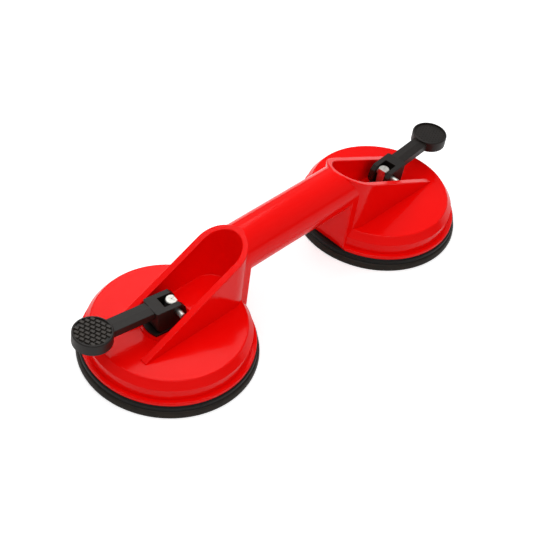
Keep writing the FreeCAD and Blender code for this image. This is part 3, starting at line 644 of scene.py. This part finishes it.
def parting_ridge(red):
    """The fine raised line down both sides of the handle, where the mould's halves met."""
    shell = bmesh.new()
    # half length, height over the handle and half width, at the ridge's top and at its foot
    top, foot = (42.0, 0.14, 0.12), (42.6, -0.3, 0.3)
    for side in (-1, 1):
        for vert in bmesh.ops.create_cube(shell, size=2.0)["verts"]:
            length, height, width = top if vert.co.y * side > 0 else foot
            vert.co = Vector((
                vert.co.x * length * MM,
                side * (GRIP_RADIUS + height) * MM,
                (GRIP_AXIS + vert.co.z * width) * MM,
            ))
    ridge = piece_from("parting_ridge", shell)
    finish_mesh(ridge, red)
    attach(ridge, "frame")


# ---------------------------------------------------------------- small marks


def stamped_cross(cup, steel):
    """The cross that the forming tool leaves on the stud's end, as two shallow raised bars."""
    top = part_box(f"{cup}_stud")[1].z
    centre = middle_of(f"{cup}_stud")
    turn = lever_place(cup).to_3x3() @ Matrix.Rotation(math.radians(20), 3, "Z")
    shell = bmesh.new()
    for along, across in ((2.5, 0.35), (0.35, 2.5)):
        bar = bmesh.ops.create_cube(shell, size=2.0)["verts"]
        for vert in bar:
            taper = 0.8 if vert.co.z > 0 else 1.0
            flat = turn @ Vector(
                (vert.co.x * along * MM * taper, vert.co.y * across * MM * taper, 0)
            )
            vert.co = Vector((centre.x + flat.x, centre.y + flat.y, top + vert.co.z * 0.08 * MM))
    cross = piece_from(f"{cup}_stud_cross", shell)
    finish_mesh(cross, steel)
    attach(cross, f"{cup}_lift")


# ---------------------------------------------------------------- stage, lights and camera


def paper_floor():
    mesh = bpy.data.meshes.new("paper_floor")
    reach = 6.0
    corners = [(-reach, -reach, 0), (reach, -reach, 0), (reach, reach, 0), (-reach, reach, 0)]
    mesh.from_pydata(corners, [], [(0, 1, 2, 3)])
    floor = new_piece("paper_floor", mesh)
    floor.location.z = -0.02 * MM
    mesh.materials.append(white_paper_sweep())


def soft_box(name, place, aim, size, watts):
    lamp = bpy.data.lights.new(name, "AREA")
    lamp.shape = "RECTANGLE"
    lamp.size, lamp.size_y = size
    lamp.energy = watts
    fixture = bpy.data.objects.new(name, lamp)
    fixture.location = place
    fixture.rotation_euler = (Vector(aim) - Vector(place)).to_track_quat("-Z", "Y").to_euler()
    bpy.context.scene.collection.objects.link(fixture)


def studio():
    """A white room, dim just above the edge of the paper, with two soft boxes overhead."""
    world = bpy.data.worlds.new("studio")
    bpy.context.scene.world = world
    world.use_nodes = True
    tree = world.node_tree
    tree.nodes.clear()
    path = add(tree, "ShaderNodeLightPath")
    place = add(tree, "ShaderNodeTexCoord").outputs["Generated"]
    up = add(tree, "ShaderNodeSeparateXYZ", {"Vector": place}).outputs["Z"]
    room = add(
        tree, "ShaderNodeMapRange",
        {"Value": up, "From Min": 0.1, "From Max": 0.24, "To Min": 0.18, "To Max": 0.5},
    )
    level = add(
        tree, "ShaderNodeMath",
        {0: room.outputs["Result"], 1: path.outputs["Is Camera Ray"]}, operation="MAXIMUM",
    )
    glow = add(tree, "ShaderNodeBackground", {"Color": (1, 1, 1, 1), "Strength": level.outputs[0]})
    add(tree, "ShaderNodeOutputWorld", {"Surface": glow.outputs[0]})
    soft_box("key_box", (0.2, 0.68, 1.12), (0, 0, 0.02), (1.1, 1.1), 7.5)
    soft_box("overhead_box", (-0.2, -0.3, 1.3), (0, 0, 0), (0.9, 0.9), 4.8)


def camera():
    turn, rise, roll = math.radians(-50.77), math.radians(44.25), math.radians(8.36)
    aim = Vector((0.0002, 0.0114, 0.0))
    flat = math.cos(rise)
    back = Vector((math.sin(turn) * flat, -math.cos(turn) * flat, math.sin(rise)))
    level = (-back).cross(Vector((0, 0, 1))).normalized()
    upright = level.cross(-back)
    right = level * math.cos(roll) + upright * math.sin(roll)
    up = upright * math.cos(roll) - level * math.sin(roll)
    lens = bpy.data.cameras.new("studio_camera")
    lens.sensor_width = 36.0
    lens.lens = 80.5
    lens.clip_start, lens.clip_end = 0.01, 50.0
    view = bpy.data.objects.new("studio_camera", lens)
    place = aim + back * 0.8281
    view.matrix_world = Matrix((
        (right.x, up.x, back.x, place.x),
        (right.y, up.y, back.y, place.y),
        (right.z, up.z, back.z, place.z),
        (0, 0, 0, 1),
    ))
    bpy.context.scene.collection.objects.link(view)
    bpy.context.scene.camera = view


def dress_nodes(finishes):
    """Gives each solid that stays its finished material."""
    for name, node in frame["nodes"].items():
        for ending, material in finishes.items():
            if name.endswith(ending):
                for holder in node.material_slots:
                    holder.material = material


bpy.context.scene.view_settings.view_transform = "Standard"
camera()
paper_floor()
studio()

red_abs = moulded_red_abs()
black_nylon = moulded_black_nylon("moulded_black_nylon", "#0F0B08", "#1D1610")
rubbed_nylon = moulded_black_nylon("rubbed_black_nylon", "#2A2521", "#3A342E")
black_rubber = cured_black_rubber(LIP_HEIGHT * MM)
bright_steel = zinc_plated_steel()
dress_nodes({
    "body_moulding": red_abs,
    "suction_pad": black_rubber,
    "insert_disc": bright_steel,
    "stud": bright_steel,
    "cam_washer": black_nylon,
    "pivot_pin": bright_steel,
    "lever": black_nylon,
})
rubber_pads(black_rubber)
thumb_treads(black_nylon, rubbed_nylon)
pocket_steps(red_abs)
parting_ridge(red_abs)
for cup in CUPS:
    stamped_cross(cup, bright_steel)
